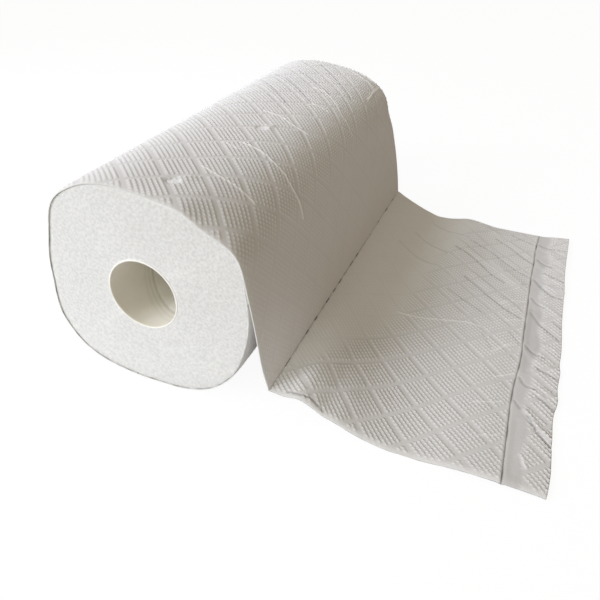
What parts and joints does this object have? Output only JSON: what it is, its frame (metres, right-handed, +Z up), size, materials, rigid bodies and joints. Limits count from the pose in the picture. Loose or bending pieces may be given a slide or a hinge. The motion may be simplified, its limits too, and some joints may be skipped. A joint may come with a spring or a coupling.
{
  "type": "paper towel roll",
  "caption": "Soft kitchen towel roll lying on its side, wound on an open board core, with its embossed, perforated loose end drawn out flat beside it.",
  "frame": {"origin": "on the axis of the core's bore, halfway along the roll", "axes": "+Z up with the roll lying on its flat spot, +Y along the core from the near end to the far end, +X towards the loose tail"},
  "size_m": [0.273, 0.279, 0.1138],
  "materials": {
    "core_board": "matte spiral-wound board",
    "towel_paper": "soft matte embossed tissue"
  },
  "bodies": {
    "root": {"cardboard_core": "core_board", "towel_paper": "towel_paper"}
  },
  "joints": []
}
